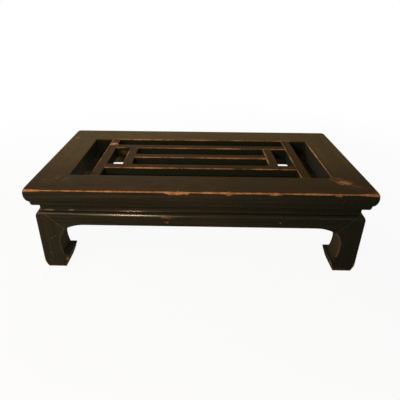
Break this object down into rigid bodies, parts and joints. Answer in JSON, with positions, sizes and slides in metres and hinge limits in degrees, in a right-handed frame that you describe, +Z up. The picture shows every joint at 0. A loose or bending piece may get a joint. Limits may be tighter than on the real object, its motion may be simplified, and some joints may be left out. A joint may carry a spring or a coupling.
{
  "type": "kang table",
  "caption": "Low rectangular waisted table with an open lattice top in a mitred moulded frame, arched aprons and inward-curving horse-hoof legs.",
  "frame": {"origin": "on the floor, under the middle of the table", "axes": "+X along the table's length, +Y from the front to the back, +Z up"},
  "size_m": [1, 0.53, 0.28],
  "materials": {
    "top_frame": "aged dark brown lacquer, satin, worn to reddish wood on the arrises",
    "lattice": "aged dark brown lacquer, satin, worn on the rounded arrises",
    "waist": "aged dark brown lacquer, dull",
    "aprons": "aged black-brown lacquer, satin, a polished line along the shoulder",
    "legs": "aged black-brown lacquer, satin, worn at the mitres and feet"
  },
  "bodies": {
    "root": {"frame_front": "top_frame", "frame_back": "top_frame", "frame_left": "top_frame", "frame_right": "top_frame", "lattice_cross_bar_left": "lattice", "lattice_cross_bar_right": "lattice", "lattice_long_rail_front": "lattice", "lattice_long_rail_back": "lattice", "lattice_upright_left": "lattice", "lattice_upright_right": "lattice", "lattice_centre_rail": "lattice", "waist_front": "waist", "waist_back": "waist", "waist_left": "waist", "waist_right": "waist", "apron_front": "aprons", "apron_back": "aprons", "apron_left": "aprons", "apron_right": "aprons", "leg_front_left": "legs", "leg_front_right": "legs", "leg_back_left": "legs", "leg_back_right": "legs"}
  },
  "joints": []
}
